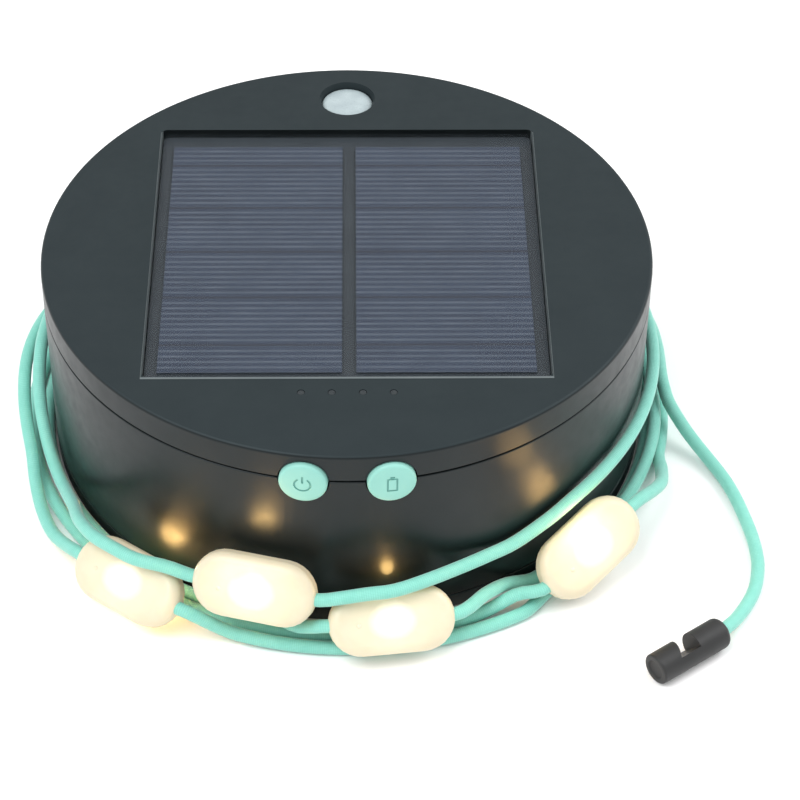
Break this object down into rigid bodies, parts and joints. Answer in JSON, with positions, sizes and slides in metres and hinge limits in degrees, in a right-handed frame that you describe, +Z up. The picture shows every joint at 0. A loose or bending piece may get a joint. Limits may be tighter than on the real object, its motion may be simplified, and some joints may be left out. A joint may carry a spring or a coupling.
{
  "type": "solar string lights",
  "caption": "Round black solar lantern puck with a solar panel in its top, a thin light cord with translucent LED nodes wound round it, and a hook on the cord's end.",
  "frame": {"origin": "centre of the puck's flat underside", "axes": "+Z up through the solar panel; -Y towards the two buttons; +X to the right as the buttons are faced"},
  "size_m": [0.1638, 0.1662, 0.048],
  "materials": {
    "black_housing": "satin moulded",
    "charcoal_plastic": "matte moulded",
    "mint_rubber": "soft silicone",
    "mint_cord": "smooth cord jacket",
    "black_rubber": "matte",
    "solar_cell": "dark blue silicon under a clear coat",
    "clear_sheet": "clear",
    "frosted_diffuser": "frosted, translucent",
    "circuit_board": "solder resist",
    "steel": "plated",
    "mirror_chrome": "metallised",
    "battery_wrap": "shrink wrap",
    "white_led": "moulded"
  },
  "bodies": {
    "housing": {"battery_cell": "battery_wrap", "battery_cradle": "charcoal_plastic", "battery_switch": "charcoal_plastic", "board_screw_left": "steel", "board_screw_right": "steel", "button_board": "circuit_board", "controller_chip": "charcoal_plastic", "cord_gland": "black_rubber", "cord_run_1": "mint_cord", "cord_run_2": "mint_cord", "cord_run_3": "mint_cord", "cord_run_4": "mint_cord", "cord_run_5": "mint_cord", "cord_run_6": "mint_cord", "cord_run_7": "mint_cord", "cord_run_8": "mint_cord", "cord_run_9": "mint_cord", "cord_spool": "charcoal_plastic", "hook_clip": "charcoal_plastic", "housing_screw_1": "steel", "housing_screw_2": "steel", "housing_screw_3": "steel", "housing_screw_4": "steel", "housing_seal": "black_rubber", "indicator_led_strip": "white_led", "indicator_light_guide": "clear_sheet", "led_node_1": "frosted_diffuser", "led_node_2": "frosted_diffuser", "led_node_3": "frosted_diffuser", "led_node_4": "frosted_diffuser", "led_node_5": "frosted_diffuser", "led_node_6": "frosted_diffuser", "led_node_7": "frosted_diffuser", "led_node_8": "frosted_diffuser", "lower_housing": "black_housing", "main_circuit_board": "circuit_board", "power_switch": "charcoal_plastic", "solar_adhesive": "black_rubber", "solar_back_board": "charcoal_plastic", "solar_cell_left": "solar_cell", "solar_cell_right": "solar_cell", "solar_cover_sheet": "clear_sheet", "stowed_cord": "mint_cord", "top_cover": "black_housing", "torch_led": "white_led", "torch_lens": "clear_sheet", "torch_reflector": "mirror_chrome", "usb_board": "circuit_board", "usb_socket": "steel"},
    "base_cap": {"base_cap": "black_housing"},
    "power_button": {"power_button": "mint_rubber"},
    "battery_button": {"battery_button": "mint_rubber"},
    "usb_cover": {"usb_cover": "black_rubber"}
  },
  "joints": [
    {"name": "base_cap_twist", "type": "hinge", "parent": "housing", "child": "base_cap", "pos_m": [0, 0, 0], "axis": [0, 0, 1], "range_deg": [0, 25]},
    {"name": "power_button_press", "type": "slide", "parent": "housing", "child": "power_button", "axis": [0.134, 0.991, 0], "range_m": [0, 0.0006], "stiffness_N_per_m": 300},
    {"name": "battery_button_press", "type": "slide", "parent": "housing", "child": "battery_button", "axis": [-0.134, 0.991, 0], "range_m": [0, 0.0006], "stiffness_N_per_m": 300},
    {"name": "usb_cover_swing", "type": "hinge", "parent": "housing", "child": "usb_cover", "pos_m": [0, 0.0672, 0.0284], "axis": [-1, 0, 0], "range_deg": [0, 110]}
  ]
}
